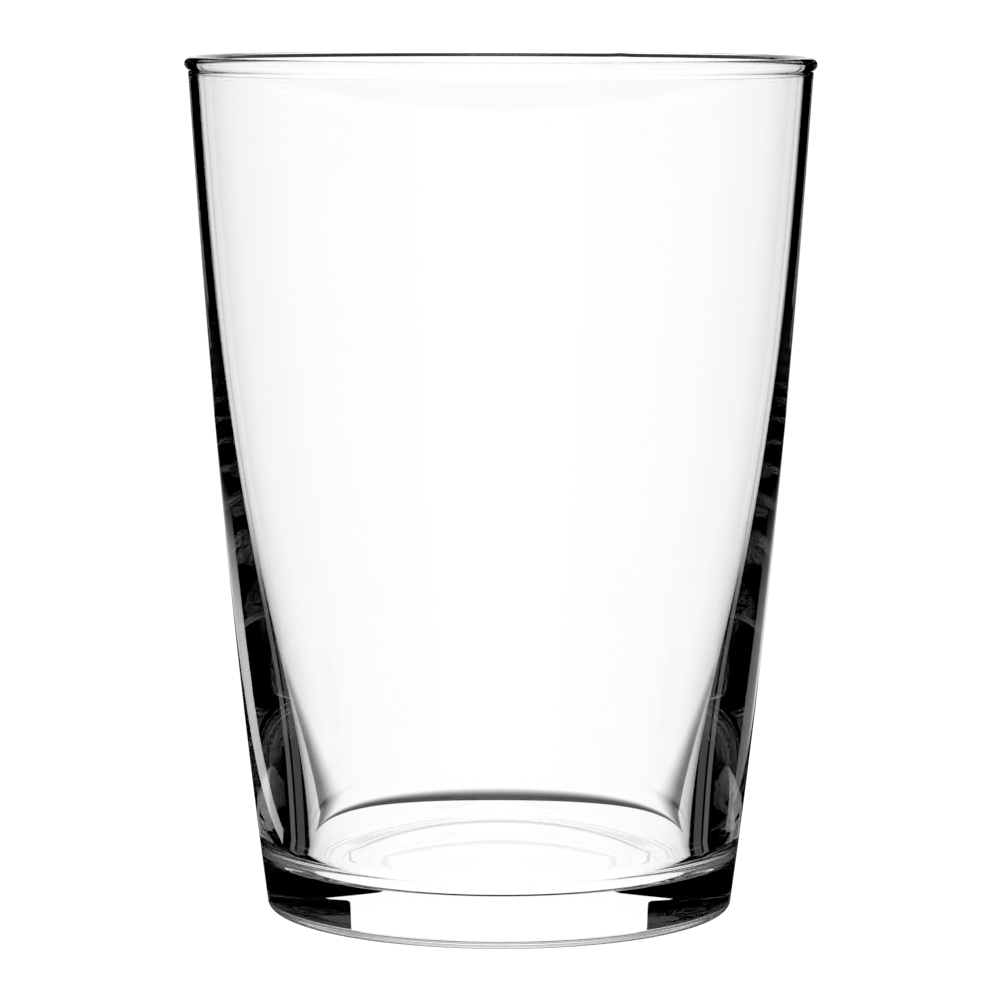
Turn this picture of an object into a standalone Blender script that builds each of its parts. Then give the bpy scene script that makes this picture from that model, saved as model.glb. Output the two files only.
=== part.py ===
"""Heavy-base tapered mixing glass, pressed in one piece.

Units are metres and +Z is up. The origin is the centre of the foot, in the plane that the glass
stands on. Run it in Blender's text editor, or with blender --background --python part.py.
"""

import math

import bpy

# Outside
HEIGHT = 0.120                # foot to the top of the lip
LIP_RADIUS = 0.0442           # widest point of the glass, at the lip
LIP_HALF_THICKNESS = 0.00105  # the lip is a fire-polished round bead
LIP_HALF_HEIGHT = 0.00105
LIP_NECK = 0.00231            # the outer wall starts this far below the top of the lip
WALL_TOP_RADIUS = 0.04383     # outside of the wall, carried up to the full height
WALL_TAPER = 0.00773          # straight part of the drop in that radius, from top to foot
WALL_BELLY = 0.00325          # curved part of the same drop
BELLY_POWER = 2.5             # a higher power sets the curve in later
HEEL_HEIGHT = 0.0008          # rounded corner between the wall and the standing ring
HEEL_WIDTH = 0.0007

# Inside
UPPER_WALL = 0.0014           # thickness of the wall, measured level, under the lip
LOWER_WALL_GAIN = 0.0056      # what the wall gains on the way down to the foot
GAIN_POWER = 2.0              # a higher power sets the gain in later
GAIN_END = 0.90               # share of the height, from the top, over which it gains
FLOOR_Z = 0.0066              # height of the inner floor
FILLET_WIDTH = 0.0040         # round corner between the inner wall and the floor
FILLET_HEIGHT = 0.0040

# Underside
RING_INNER = 0.0310           # inside edge of the narrow ring that the glass stands on
RECESS_ROUND = 0.0005         # how far in the rounded side of the recess reaches
RECESS_HEIGHT = 0.0009        # height of the recess inside the ring
PUSH_UP_HEIGHT = 0.0001       # what the middle of the recess adds to that

# Fineness of the mesh
AROUND = 64
WALL_STEPS = 11
LIP_STEPS = 8
CORNER_STEPS = 4
RECESS_STEPS = 3
MERGE_DISTANCE = 0.00001
SMOOTH_ANGLE = math.radians(40)

COLLECTION_NAME = "mixing_glass"
NODE_NAME = "glass_body"


def drop(z):
    """How far height z is below the lip, from 0 at the top to 1 at the foot."""
    return (HEIGHT - z) / HEIGHT


def outer_radius(z):
    """Radius of the outside of the wall at height z."""
    return WALL_TOP_RADIUS - WALL_TAPER * drop(z) - WALL_BELLY * drop(z) ** BELLY_POWER


def inner_radius(z):
    """Radius of the inside of the wall at height z. The wall thickens in a soft S."""
    share = min(1.0, drop(z) / GAIN_END) ** GAIN_POWER
    return outer_radius(z) - UPPER_WALL - LOWER_WALL_GAIN * share * share * (3 - 2 * share)


def arc(centre, half_width, half_height, start_deg, end_deg, steps):
    """Points (radius, z) along part of an ellipse, both ends included."""
    points = []
    for i in range(steps + 1):
        angle = math.radians(start_deg + (end_deg - start_deg) * i / steps)
        radius = centre[0] + half_width * math.cos(angle)
        points.append((radius, centre[1] + half_height * math.sin(angle)))
    return points


def wall(radius_at, z_start, z_end):
    """Points (radius, z) along a wall, both ends included."""
    heights = [z_start + (z_end - z_start) * i / WALL_STEPS for i in range(WALL_STEPS + 1)]
    return [(radius_at(z), z) for z in heights]


def inside_points():
    """The inner floor from its centre outwards, its fillet, and the inner wall going up."""
    fillet_top = FLOOR_Z + FILLET_HEIGHT
    centre = (inner_radius(fillet_top) - FILLET_WIDTH, fillet_top)
    floor = [(0.0, FLOOR_Z), (centre[0] / 2, FLOOR_Z)]
    fillet = arc(centre, FILLET_WIDTH, FILLET_HEIGHT, -90, 0, CORNER_STEPS)
    inner_wall = wall(inner_radius, fillet_top, HEIGHT - 2 * LIP_HALF_HEIGHT)
    return floor + fillet + inner_wall[1:]


def lip_points():
    """The round lip, from its inner side over the top to its outer side."""
    centre = (LIP_RADIUS - LIP_HALF_THICKNESS, HEIGHT - LIP_HALF_HEIGHT)
    return arc(centre, LIP_HALF_THICKNESS, LIP_HALF_HEIGHT, 180, -60, LIP_STEPS)


def outside_points():
    """The outer wall going down, and the rounded heel."""
    outer_wall = wall(outer_radius, HEIGHT - LIP_NECK, HEEL_HEIGHT)
    centre = (outer_radius(HEEL_HEIGHT) - HEEL_WIDTH, HEEL_HEIGHT)
    heel = arc(centre, HEEL_WIDTH, HEEL_HEIGHT, 0, -90, CORNER_STEPS)
    return outer_wall + heel[1:]


def underside_points():
    """The narrow standing ring and the shallow recess inside it, ending on the axis."""
    edge = RING_INNER - RECESS_ROUND
    side = arc((edge, 0.0), RECESS_ROUND, RECESS_HEIGHT, 0, 90, CORNER_STEPS)
    recess = []
    for i in range(RECESS_STEPS - 1, -1, -1):
        share = i / RECESS_STEPS
        recess.append((edge * share, RECESS_HEIGHT + PUSH_UP_HEIGHT * (1 - share ** 2)))
    return side + recess


def glass_material():
    """Clear soda-lime glass."""
    material = bpy.data.materials.new("clear_glass")
    material.use_nodes = True
    shader = material.node_tree.nodes["Principled BSDF"]
    shader.inputs["Base Color"].default_value = (0.97, 0.985, 0.98, 1.0)
    shader.inputs["Roughness"].default_value = 0.02
    shader.inputs["Metallic"].default_value = 0.0
    shader.inputs["IOR"].default_value = 1.52
    shader.inputs["Transmission Weight"].default_value = 1.0
    return material


def turned_object(name, profile, collection):
    """A closed body of revolution about Z, from a profile that runs down its outer side."""
    mesh = bpy.data.meshes.new(name)
    vertices = [(radius, 0.0, z) for radius, z in profile]
    edges = [(i, i + 1) for i in range(len(vertices) - 1)]
    mesh.from_pydata(vertices, edges, [])
    obj = bpy.data.objects.new(name, mesh)
    collection.objects.link(obj)
    screw = obj.modifiers.new("Turn", "SCREW")
    screw.axis = "Z"
    screw.angle = math.tau
    screw.steps = AROUND
    screw.render_steps = AROUND
    screw.use_merge_vertices = True
    screw.merge_threshold = MERGE_DISTANCE
    return obj


def make_glass(collection):
    """The whole glass, which is one piece."""
    profile = inside_points() + lip_points() + outside_points() + underside_points()
    glass = turned_object(NODE_NAME, profile, collection)
    glass.data.materials.append(glass_material())
    return glass


def apply_and_smooth(obj):
    """Turn the modifiers into mesh, and shade it smooth apart from its sharp edges."""
    evaluated = obj.evaluated_get(bpy.context.evaluated_depsgraph_get())
    mesh = bpy.data.meshes.new_from_object(evaluated)
    obj.modifiers.clear()
    obj.data = mesh
    mesh.shade_smooth()
    mesh.set_sharp_from_angle(angle=SMOOTH_ANGLE)


def main():
    for obj in list(bpy.data.objects):
        bpy.data.objects.remove(obj, do_unlink=True)
    collection = bpy.data.collections.new(COLLECTION_NAME)
    bpy.context.scene.collection.children.link(collection)
    apply_and_smooth(make_glass(collection))


main()
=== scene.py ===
"""Looks for the tapered, heavy-based mixing glass. Metres, +Z up, front towards -Y."""

import math

import bpy
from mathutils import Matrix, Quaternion, Vector


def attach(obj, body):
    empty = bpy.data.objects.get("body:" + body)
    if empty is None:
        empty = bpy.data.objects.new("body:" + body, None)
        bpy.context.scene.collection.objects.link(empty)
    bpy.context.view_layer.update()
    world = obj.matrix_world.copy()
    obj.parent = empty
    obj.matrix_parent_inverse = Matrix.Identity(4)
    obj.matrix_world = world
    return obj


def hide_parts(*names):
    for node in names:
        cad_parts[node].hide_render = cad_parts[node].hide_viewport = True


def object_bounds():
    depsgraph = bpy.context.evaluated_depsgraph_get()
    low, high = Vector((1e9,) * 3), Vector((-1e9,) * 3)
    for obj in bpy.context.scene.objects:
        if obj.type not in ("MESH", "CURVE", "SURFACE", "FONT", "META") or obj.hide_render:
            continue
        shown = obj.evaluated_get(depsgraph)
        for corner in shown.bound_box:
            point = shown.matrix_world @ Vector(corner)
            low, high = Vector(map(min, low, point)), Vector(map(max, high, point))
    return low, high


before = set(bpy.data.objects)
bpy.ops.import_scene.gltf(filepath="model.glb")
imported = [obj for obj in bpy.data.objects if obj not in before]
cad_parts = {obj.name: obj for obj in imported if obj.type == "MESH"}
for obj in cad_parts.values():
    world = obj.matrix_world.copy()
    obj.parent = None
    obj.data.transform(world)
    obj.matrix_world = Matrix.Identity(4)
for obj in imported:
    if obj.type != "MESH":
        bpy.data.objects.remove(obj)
CAD_LOW, CAD_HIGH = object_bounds()

# Outside of the glass, as in the CAD part
HEIGHT = CAD_HIGH.z - CAD_LOW.z
LIP_RADIUS = (CAD_HIGH.x - CAD_LOW.x) / 2
LIP_HALF_THICKNESS = 0.00105  # the lip is a fire-polished round bead
LIP_HALF_HEIGHT = 0.00105
LIP_NECK = 0.00231            # the outer wall starts this far below the top of the lip
WALL_TOP_RADIUS = 0.04383     # outside of the wall, carried up to the full height
WALL_TAPER = 0.00773          # straight part of the drop in that radius, from top to foot
WALL_BELLY = 0.00325          # curved part of the same drop
BELLY_POWER = 2.5             # a higher power sets the curve in later
HEEL_HEIGHT = 0.0008          # rounded corner between the wall and the standing ring
HEEL_WIDTH = 0.0007

# Inside of the glass
UPPER_WALL = 0.0014           # thickness of the wall, measured level, under the lip
LOWER_WALL_GAIN = 0.0056      # what the wall gains on the way down to the foot
GAIN_POWER = 2.0              # a higher power sets the gain in later
GAIN_END = 0.90               # share of the height, from the top, over which it gains
FLOOR_Z = 0.0066              # height of the inner floor
FILLET_WIDTH = 0.0040         # round corner between the inner wall and the floor
FILLET_HEIGHT = 0.0040

# Underside of the glass
RING_INNER = 0.0310           # inside edge of the narrow ring that the glass stands on
RECESS_ROUND = 0.0005         # how far in the rounded side of the recess reaches
RECESS_HEIGHT = 0.0009        # height of the recess inside the ring
PUSH_UP_HEIGHT = 0.0001       # what the middle of the recess adds to that

# A tiny lump left on top of the lip
LUMP_DEG = 65.6               # where it is, from +X towards the back
LUMP_HALF_WIDTH = 0.0022
LUMP_HEIGHT = 0.00022

# Fineness of the turned mesh
TURN_STEPS = 256
FLOOR_STEPS = 24
FILLET_STEPS = 30
INNER_WALL_STEPS = 90
LIP_STEPS = 28
OUTER_WALL_STEPS = 100
HEEL_STEPS = 14
RECESS_SIDE_STEPS = 8
RECESS_STEPS = 16
MERGE_DISTANCE = 0.00001

# The glass itself
PLAIN_WHITE = (1, 1, 1, 1)
GLASS_IOR = 1.52
GLASS_TINT = (0.93, 0.965, 0.95, 1)
TINT_DENSITY = 1.5
POLISH_SCALE = 900.0
POLISH_DETAIL = 3.0
POLISH_FROM = 0.60            # the polish noise is smooth glass below this value
POLISH_TO = 0.80              # and as rough as it gets from this one on
ROUGHNESS = 0.02
RIPPLE_SCALE = 70.0
RIPPLE_DETAIL = 1.0
RIPPLE_STRENGTH = 0.12
RIPPLE_HEIGHT = 0.00002

# The camera
CAMERA_DISTANCE = 0.640
CAMERA_HEIGHT = 0.1312
AIM_HEIGHT = 0.0576
ROLL_DEG = 0.12
LENS = 164.2
SENSOR = 36.0
CAMERA_REACH = 20.0

# How the studio sorts light, by the surfaces of the glass between a card and the camera
INTO_GLASS = 1                # surfaces crossed by light that was in the glass at all
ONE_WALL = 2                  # surfaces crossed and met by light straight through one wall
FAR_WALL = 3                  # surfaces crossed by light that came through the bowl
TRAPPED = 8                   # surfaces met by light that runs along inside the wall
CLEAR_FROM_Z = 0.010          # a single wall turns clear above the solid base,
CLEAR_TO_Z = 0.018            # between these two heights of the card behind it
MAX_BOUNCES = 96              # how often light may bounce inside the glass

# Strengths of the studio
WHITE = 1.10
DARK = 0.0

# The tent: dark cards at both sides and in front, open at the back
SIDE_X = 0.079
TENT_FRONT = -0.30
TENT_BACK = 0.190
TENT_FOOT = -0.30
TENT_TOP = 0.45
HAZE_FROM_Y = 0.05            # seen through the bowl, the sides are dim up to here,
HAZE_TO_Y = 0.13              # to the front and to the back, and white from here on
HAZE_DIM = 0.75

# Two lit slots in each side. Each row is a slot's near and far edge and its share of light.
SLOT_X = 0.078
SLOTS = ((0.022, 0.033, 0.55), (0.037, 0.046, 1.0))
SLOT_DIM_Z = 0.005
SLOT_BRIGHT_Z = 0.038
SLOT_DIM = 0.12
SLOT_BRIGHT = 0.75

# A shaped strip light at each side. Each row is a height and the strip's near and far edge.
STRIP_X = 0.077
LEFT_STRIP = (
    (-0.011, 0.002, 0.006),
    (-0.007, 0.009, 0.018),
    (0.000, 0.027, 0.062),
    (0.008, 0.040, 0.110),
    (0.015, 0.046, 0.300),
    (0.028, 0.050, 0.300),
    (0.050, 0.055, 0.300),
)
RIGHT_STRIP = (
    (-0.011, 0.060, 0.300),
    (-0.007, 0.050, 0.300),
    (0.000, 0.046, 0.300),
    (0.008, 0.046, 0.300),
    (0.015, 0.046, 0.300),
    (0.028, 0.050, 0.300),
    (0.050, 0.055, 0.300),
)
LEFT_SHINE = (0.020, 0.110, 2.4, 1.0)    # where the fade along Y runs, and its strengths there
RIGHT_SHINE = (0.090, 0.140, 0.40, 1.1)
STRIP_FADE_Z = 0.018          # going up, the strips are at full strength to here
STRIP_GONE_Z = 0.048          # and out from here on

# The dark table: a ring round the glass, open to this angle either side of straight behind
TABLE_NEAR = 0.037
TABLE_FAR = 3.0
TABLE_Z = -0.002
TABLE_OPEN_DEG = 80
ROUND_STEPS = 48

# The back table, in that opening: white in the middle, and dark at its sides
BACK_TABLE_HALF = 0.022
BACK_TABLE_WIDE = 0.075
BACK_TABLE_NEAR = 0.046
BACK_TABLE_FAR = 0.200
BACK_FADE_FROM = 0.050        # seen through the bowl, it is dark up to here
BACK_FADE_TO = 0.066          # and white from here on
BACK_DARK = 0.02

# The dark shelf under the tables, the white pad under the foot, and the floor
SHELF_HALF = 0.90
SHELF_FRONT = -0.30
SHELF_BACK = 0.90
SHELF_Z = -0.060
PAD_RADIUS = 0.036
PAD_Z = -0.0015
FLOOR_HALF = 3.0
FLOOR_DROP = 0.00005

# What the cards show through the bowl, as fade() takes it
HAZE = ("Y", HAZE_FROM_Y, HAZE_TO_Y, HAZE_DIM, WHITE, True)
BACK_GLOW = ("Y", BACK_FADE_FROM, BACK_FADE_TO, BACK_DARK, WHITE)


def drop(z):
    """How far height z is below the lip, from 0 at the top to 1 at the foot."""
    return (HEIGHT - z) / HEIGHT


def outer_radius(z):
    """Radius of the outside of the wall at height z."""
    return WALL_TOP_RADIUS - WALL_TAPER * drop(z) - WALL_BELLY * drop(z) ** BELLY_POWER


def inner_radius(z):
    """Radius of the inside of the wall at height z. The wall thickens in a soft S."""
    share = min(1.0, drop(z) / GAIN_END) ** GAIN_POWER
    return outer_radius(z) - UPPER_WALL - LOWER_WALL_GAIN * share * share * (3 - 2 * share)


def arc(centre, half_width, half_height, start_deg, end_deg, steps):
    """Points (radius, z) along part of an ellipse, both ends included."""
    points = []
    for i in range(steps + 1):
        angle = math.radians(start_deg + (end_deg - start_deg) * i / steps)
        radius = centre[0] + half_width * math.cos(angle)
        points.append((radius, centre[1] + half_height * math.sin(angle)))
    return points


def wall(radius_at, z_start, z_end, steps):
    """Points (radius, z) along a wall, both ends included."""
    heights = [z_start + (z_end - z_start) * i / steps for i in range(steps + 1)]
    return [(radius_at(z), z) for z in heights]


def inside_points():
    """The inner floor from its centre outwards, its fillet, and the inner wall going up."""
    fillet_top = FLOOR_Z + FILLET_HEIGHT
    centre = (inner_radius(fillet_top) - FILLET_WIDTH, fillet_top)
    floor = [(centre[0] * i / FLOOR_STEPS, FLOOR_Z) for i in range(FLOOR_STEPS)]
    fillet = arc(centre, FILLET_WIDTH, FILLET_HEIGHT, -90, 0, FILLET_STEPS)
    inner = wall(inner_radius, fillet_top, HEIGHT - 2 * LIP_HALF_HEIGHT, INNER_WALL_STEPS)
    return floor + fillet + inner[1:]


def outside_points():
    """Over the round lip, down the outer wall and round the heel."""
    lip_centre = (LIP_RADIUS - LIP_HALF_THICKNESS, HEIGHT - LIP_HALF_HEIGHT)
    lip = arc(lip_centre, LIP_HALF_THICKNESS, LIP_HALF_HEIGHT, 180, -60, LIP_STEPS)
    outer = wall(outer_radius, HEIGHT - LIP_NECK, HEEL_HEIGHT, OUTER_WALL_STEPS)
    heel_centre = (outer_radius(HEEL_HEIGHT) - HEEL_WIDTH, HEEL_HEIGHT)
    heel = arc(heel_centre, HEEL_WIDTH, HEEL_HEIGHT, 0, -90, HEEL_STEPS)
    return lip + outer + heel[1:]


def underside_points():
    """The narrow standing ring and the shallow recess inside it, ending on the axis."""
    edge = RING_INNER - RECESS_ROUND
    side = arc((edge, 0.0), RECESS_ROUND, RECESS_HEIGHT, 0, 90, RECESS_SIDE_STEPS)
    recess = []
    for i in range(RECESS_STEPS - 1, -1, -1):
        share = i / RECESS_STEPS
        recess.append((edge * share, RECESS_HEIGHT + PUSH_UP_HEIGHT * (1 - share ** 2)))
    return side + recess


def noise(tree, place, scale, detail):
    """Soft noise, fixed to the glass."""
    texture = tree.nodes.new("ShaderNodeTexNoise")
    texture.inputs["Scale"].default_value = scale
    texture.inputs["Detail"].default_value = detail
    tree.links.new(place.outputs["Object"], texture.inputs["Vector"])
    return texture.outputs["Fac"]


def glass_material():
    """Clear soda-lime glass: unevenly fire-polished, faintly rippled, with a trace of green."""
    material = bpy.data.materials.new("clear_glass")
    material.use_nodes = True
    tree = material.node_tree
    shader = tree.nodes["Principled BSDF"]
    shader.inputs["Base Color"].default_value = PLAIN_WHITE
    shader.inputs["IOR"].default_value = GLASS_IOR
    shader.inputs["Transmission Weight"].default_value = 1.0
    place = tree.nodes.new("ShaderNodeTexCoord")
    polish = noise(tree, place, POLISH_SCALE, POLISH_DETAIL)
    rough = tree.nodes.new("ShaderNodeMapRange")
    rough.inputs["From Min"].default_value = POLISH_FROM
    rough.inputs["From Max"].default_value = POLISH_TO
    rough.inputs["To Min"].default_value = 0.0
    rough.inputs["To Max"].default_value = ROUGHNESS
    tree.links.new(polish, rough.inputs["Value"])
    tree.links.new(rough.outputs["Result"], shader.inputs["Roughness"])
    bump = tree.nodes.new("ShaderNodeBump")
    bump.inputs["Strength"].default_value = RIPPLE_STRENGTH
    bump.inputs["Distance"].default_value = RIPPLE_HEIGHT
    tree.links.new(noise(tree, place, RIPPLE_SCALE, RIPPLE_DETAIL), bump.inputs["Height"])
    tree.links.new(bump.outputs["Normal"], shader.inputs["Normal"])
    tint = tree.nodes.new("ShaderNodeVolumeAbsorption")
    tint.inputs["Color"].default_value = GLASS_TINT
    tint.inputs["Density"].default_value = TINT_DENSITY
    tree.links.new(tint.outputs["Volume"], tree.nodes["Material Output"].inputs["Volume"])
    return material


def link(name, mesh):
    """A new object in the scene."""
    obj = bpy.data.objects.new(name, mesh)
    bpy.context.scene.collection.objects.link(obj)
    return obj


def raise_lump(mesh):
    """Lift the top of the lip into the tiny lump."""
    middle = math.radians(LUMP_DEG)
    for vertex in mesh.vertices:
        x, y, z = vertex.co
        up = (z - (HEIGHT - LIP_HALF_HEIGHT)) / LIP_HALF_HEIGHT
        off = (math.atan2(y, x) - middle) * LIP_RADIUS / LUMP_HALF_WIDTH
        if up > 0 and abs(off) < 1:
            vertex.co.z += LUMP_HEIGHT * up * (1 - off * off) ** 2


def make_glass():
    """Turn the outline into one closed piece."""
    vertices = [(r, 0, z) for r, z in inside_points() + outside_points() + underside_points()]
    edges = [(i, i + 1) for i in range(len(vertices) - 1)]
    mesh = bpy.data.meshes.new("outline")
    mesh.from_pydata(vertices, edges, [])
    glass = link("clear_glass", mesh)
    screw = glass.modifiers.new("Turn", "SCREW")
    screw.axis = "Z"
    screw.angle = math.tau
    screw.steps = screw.render_steps = TURN_STEPS
    screw.use_merge_vertices = True
    screw.merge_threshold = MERGE_DISTANCE
    turned = glass.evaluated_get(bpy.context.evaluated_depsgraph_get())
    glass.data = bpy.data.meshes.new_from_object(turned)
    glass.modifiers.clear()
    raise_lump(glass.data)
    glass.data.shade_smooth()
    glass.data.materials.clear()
    glass.data.materials.append(glass_material())
    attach(glass, "root")
    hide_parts("glass_body")


def feed(tree, socket, value):
    """Set a socket to a number, or link another node's value to it."""
    if isinstance(value, (int, float)):
        socket.default_value = value
    else:
        tree.links.new(value, socket)


def fade(tree, axis, start, end, low, high, both_ways=False):
    """A value that goes from low at start to high at end along an axis of the object."""
    place = tree.nodes.new("ShaderNodeTexCoord")
    split = tree.nodes.new("ShaderNodeSeparateXYZ")
    tree.links.new(place.outputs["Object"], split.inputs["Vector"])
    along = split.outputs[axis]
    if both_ways:
        distance = tree.nodes.new("ShaderNodeMath")
        distance.operation = "ABSOLUTE"
        feed(tree, distance.inputs[0], along)
        along = distance.outputs["Value"]
    ramp = tree.nodes.new("ShaderNodeMapRange")
    ramp.interpolation_type = "SMOOTHSTEP"
    ramp.inputs["From Min"].default_value = start
    ramp.inputs["From Max"].default_value = end
    ramp.inputs["To Min"].default_value = low
    ramp.inputs["To Max"].default_value = high
    feed(tree, ramp.inputs["Value"], along)
    return ramp.outputs["Result"]


def at_least(tree, value, count):
    """1 where a whole number is the count or more, 0 where it is less."""
    test = tree.nodes.new("ShaderNodeMath")
    test.operation = "GREATER_THAN"
    test.inputs[1].default_value = count - 0.5
    feed(tree, test.inputs[0], value)
    return test.outputs["Value"]


def choose(tree, switch, off, on):
    """Off or on, as the switch is 0 or 1. Each is a number or another node's value."""
    mix = tree.nodes.new("ShaderNodeMix")
    feed(tree, mix.inputs["Factor"], switch)
    feed(tree, mix.inputs["A"], off)
    feed(tree, mix.inputs["B"], on)
    return mix.outputs["Result"]


def times(tree, first, second):
    """The product of two values. Each is a number or another node's value."""
    product = tree.nodes.new("ShaderNodeMath")
    product.operation = "MULTIPLY"
    feed(tree, product.inputs[0], first)
    feed(tree, product.inputs[1], second)
    return product.outputs["Value"]


def sorted_light(tree, solid, bowl, clear_wall=False):
    """A strength that depends on what the light went through on its way to the camera.

    Through the bowl and its far wall it is bowl, through solid glass it is solid, and trapped
    in the wall it is dark. With clear_wall, straight through one wall counts as through the
    bowl, where the card is higher than the base of the glass.
    """
    path = tree.nodes.new("ShaderNodeLightPath")
    met, crossed = path.outputs["Ray Depth"], path.outputs["Transmission Depth"]
    light = choose(tree, at_least(tree, met, TRAPPED), solid, DARK)
    if clear_wall:
        over_base = fade(tree, "Z", CLEAR_FROM_Z, CLEAR_TO_Z, 0.0, 1.0)
        clear = times(tree, at_least(tree, crossed, ONE_WALL), over_base)
        straight = choose(tree, clear, light, bowl)
        light = choose(tree, at_least(tree, met, ONE_WALL + 1), straight, light)
    return choose(tree, at_least(tree, crossed, FAR_WALL), light, bowl)


def lamp_material(name, strength):
    """A material that shines white, and evenly unless a node is linked to its strength."""
    material = bpy.data.materials.new(name)
    material.use_nodes = True
    tree = material.node_tree
    tree.nodes.clear()
    output = tree.nodes.new("ShaderNodeOutputMaterial")
    shine = tree.nodes.new("ShaderNodeEmission")
    shine.inputs["Strength"].default_value = strength
    tree.links.new(shine.outputs["Emission"], output.inputs["Surface"])
    return material


def card_material(name, solid, bowl, clear_wall=False):
    """Shines by what the light went through. Solid and bowl are numbers or values for fade()."""
    material = lamp_material(name, DARK)
    tree = material.node_tree
    strengths = [fade(tree, *v) if isinstance(v, tuple) else v for v in (solid, bowl)]
    strength = sorted_light(tree, *strengths, clear_wall)
    feed(tree, tree.nodes["Emission"].inputs["Strength"], strength)
    return material


def strip_material(near_y, far_y, near, far):
    """The strip light whose mirror image is the pale streak low on the wall.

    Its strength changes along Y and fades out upwards. It shows only as a reflection on the
    outside: light that was in the glass doesn't see it.
    """
    material = lamp_material("light_strip", DARK)
    tree = material.node_tree
    across = fade(tree, "Y", near_y, far_y, near, far)
    up = fade(tree, "Z", STRIP_FADE_Z, STRIP_GONE_Z, 1.0, 0.0)
    path = tree.nodes.new("ShaderNodeLightPath")
    inside = at_least(tree, path.outputs["Transmission Depth"], INTO_GLASS)
    strength = choose(tree, inside, times(tree, across, up), DARK)
    feed(tree, tree.nodes["Emission"].inputs["Strength"], strength)
    return material


def stage_piece(name, points, faces, material):
    """A flat piece of the studio."""
    mesh = bpy.data.meshes.new(name)
    mesh.from_pydata(points, [], faces)
    mesh.materials.append(material)
    piece = link(name, mesh)
    return piece


def sheet(name, corners, material):
    """A stage piece with four corners."""
    return stage_piece(name, corners, [(0, 1, 2, 3)], material)


def ladder(name, rungs, material):
    """A stage piece of four-sided faces between a row of rungs, each a pair of points."""
    points = [point for rung in rungs for point in rung]
    faces = [(2 * i - 2, 2 * i - 1, 2 * i + 1, 2 * i) for i in range(1, len(rungs))]
    return stage_piece(name, points, faces, material)


def level(left, right, front, back, z):
    """Corners of a level oblong."""
    return [(left, front, z), (right, front, z), (right, back, z), (left, back, z)]


def upright(x, front, back):
    """Corners of a card beside the glass, as high as the tent."""
    foot, top = TENT_FOOT, TENT_TOP
    return [(x, front, foot), (x, back, foot), (x, back, top), (x, front, top)]


def make_floor():
    """The pale floor. It shows to the camera and not in the glass."""
    half = FLOOR_HALF
    lit_floor = lamp_material("lit_floor", WHITE)
    floor = sheet("floor", level(-half, half, -half, half, -FLOOR_DROP), lit_floor)
    floor.visible_transmission = False
    floor.visible_glossy = False


def make_shelf():
    """A dark shelf well below the glass. The lip shows it as a dark line along its far side."""
    corners = level(-SHELF_HALF, SHELF_HALF, SHELF_FRONT, SHELF_BACK, SHELF_Z)
    return sheet("shelf", corners, card_material("dark_shelf", DARK, WHITE))


def make_pad():
    """A round white pad just under the glass, seen only through it."""
    points = []
    for i in range(ROUND_STEPS):
        angle = math.tau * i / ROUND_STEPS
        points.append((PAD_RADIUS * math.cos(angle), PAD_RADIUS * math.sin(angle), PAD_Z))
    pad = stage_piece("pad", points, [tuple(range(ROUND_STEPS))], lamp_material("lit_pad", WHITE))
    pad.visible_glossy = False
    return pad


def make_back_table():
    """The three parts of the table behind the glass."""
    lit = card_material("back_table", WHITE, BACK_GLOW)
    dim = card_material("back_table_sides", DARK, BACK_GLOW)
    middle, wide = BACK_TABLE_HALF, BACK_TABLE_WIDE
    cards = []
    for name, left, right, material in (
        ("back_table", -middle, middle, lit),
        ("back_table_left", -wide, -middle, dim),
        ("back_table_right", middle, wide, dim),
    ):
        corners = level(left, right, BACK_TABLE_NEAR, BACK_TABLE_FAR, TABLE_Z)
        cards.append(sheet(name, corners, material))
    return cards


def make_tent_front():
    """The dark card in front of the glass."""
    corners = []
    for x, z in ((-SIDE_X, TENT_FOOT), (SIDE_X, TENT_FOOT), (SIDE_X, TENT_TOP), (-SIDE_X, TENT_TOP)):
        corners.append((x, TENT_FRONT, z))
    return sheet("tent_front", corners, card_material("front_cloth", DARK, WHITE, clear_wall=True))


def make_tent_side(name, side, cloth, slot_lights, strip, shine):
    """One side of the tent, with its slots and its strip light. Side is -1 or 1."""
    cards = [sheet("tent_" + name, upright(side * SIDE_X, TENT_FRONT, TENT_BACK), cloth)]
    for number, (near, far, _) in enumerate(SLOTS):
        corners = upright(side * SLOT_X, near, far)
        slot = sheet("slot_%s_%d" % (name, number), corners, slot_lights[number])
        slot.visible_glossy = False
        cards.append(slot)
    x = side * STRIP_X
    rungs = [((x, near, z), (x, far, z)) for z, near, far in strip]
    light = ladder("strip_" + name, rungs, strip_material(*shine))
    light.visible_transmission = False
    cards.append(light)
    return cards


def make_tent_sides():
    """Both sides of the tent, which differ only in their strip lights."""
    cloth = card_material("dark_cloth", DARK, HAZE, clear_wall=True)
    slot_lights = []
    for _, _, share in SLOTS:
        glow = ("Z", SLOT_DIM_Z, SLOT_BRIGHT_Z, share * SLOT_DIM, share * SLOT_BRIGHT)
        slot_lights.append(card_material("lit_slot", glow, HAZE))
    left = make_tent_side("left", -1, cloth, slot_lights, LEFT_STRIP, LEFT_SHINE)
    return left + make_tent_side("right", 1, cloth, slot_lights, RIGHT_STRIP, RIGHT_SHINE)


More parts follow.
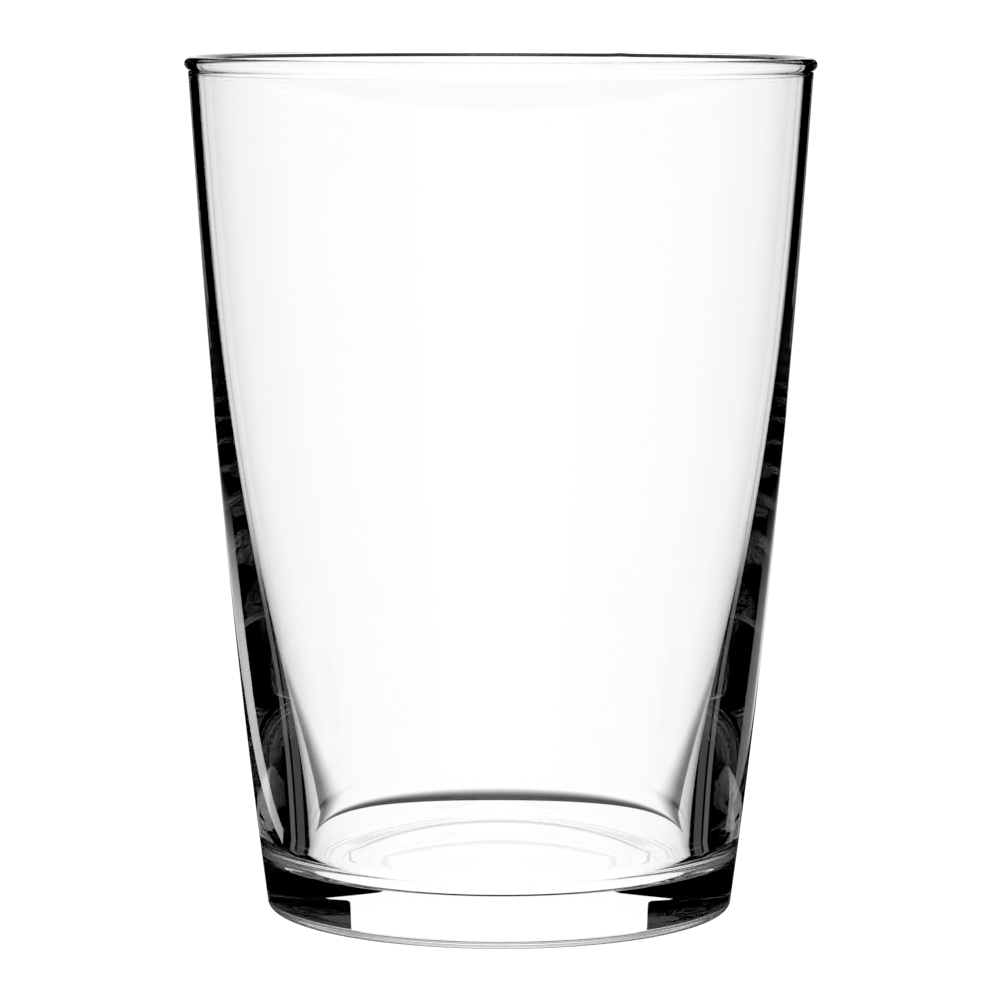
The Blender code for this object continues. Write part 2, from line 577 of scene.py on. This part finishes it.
def make_table():
    """The dark ring of table round the glass. An angle of 0 is straight behind."""
    rungs = []
    for i in range(ROUND_STEPS + 1):
        angle = math.radians(TABLE_OPEN_DEG + (360 - 2 * TABLE_OPEN_DEG) * i / ROUND_STEPS)
        across, along = math.sin(angle), math.cos(angle)
        rungs.append([(reach * across, reach * along, TABLE_Z) for reach in (TABLE_NEAR, TABLE_FAR)])
    return ladder("table", rungs, card_material("dark_table", DARK, HAZE))


def make_stage():
    """The floor for the camera, and the cards, which only the glass shows."""
    make_floor()
    cards = [make_shelf(), make_pad()] + make_back_table()
    cards += [make_tent_front()] + make_tent_sides() + [make_table()]
    for card in cards:
        card.visible_camera = False
        card.visible_diffuse = False
        card.visible_shadow = False


def make_world():
    """A white studio behind everything, dark only for light trapped in the wall."""
    world = bpy.data.worlds.new("studio")
    world.use_nodes = True
    tree = world.node_tree
    sky = tree.nodes["Background"]
    sky.inputs["Color"].default_value = PLAIN_WHITE
    feed(tree, sky.inputs["Strength"], sorted_light(tree, WHITE, WHITE))
    bpy.context.scene.world = world


def make_camera():
    """A long lens a little higher than the lip, looking at the middle of the glass."""
    data = bpy.data.cameras.new("camera")
    data.lens = LENS
    data.sensor_width = SENSOR
    data.clip_end = CAMERA_REACH
    camera = link("camera", data)
    camera.location = (0, -CAMERA_DISTANCE, CAMERA_HEIGHT)
    look = Vector((0, 0, AIM_HEIGHT)) - camera.location
    roll = Quaternion((0, 0, 1), math.radians(ROLL_DEG))
    camera.rotation_mode = "QUATERNION"
    camera.rotation_quaternion = look.to_track_quat("-Z", "Y") @ roll
    bpy.context.scene.camera = camera


def set_rendering():
    """Plain colours, and enough bounces for light that runs along inside the glass."""
    scene = bpy.context.scene
    scene.view_settings.view_transform = "Standard"
    scene.view_settings.look = "None"
    scene.cycles.max_bounces = MAX_BOUNCES
    scene.cycles.transmission_bounces = MAX_BOUNCES
    scene.cycles.glossy_bounces = MAX_BOUNCES


make_glass()
make_camera()
make_stage()
make_world()
set_rendering()
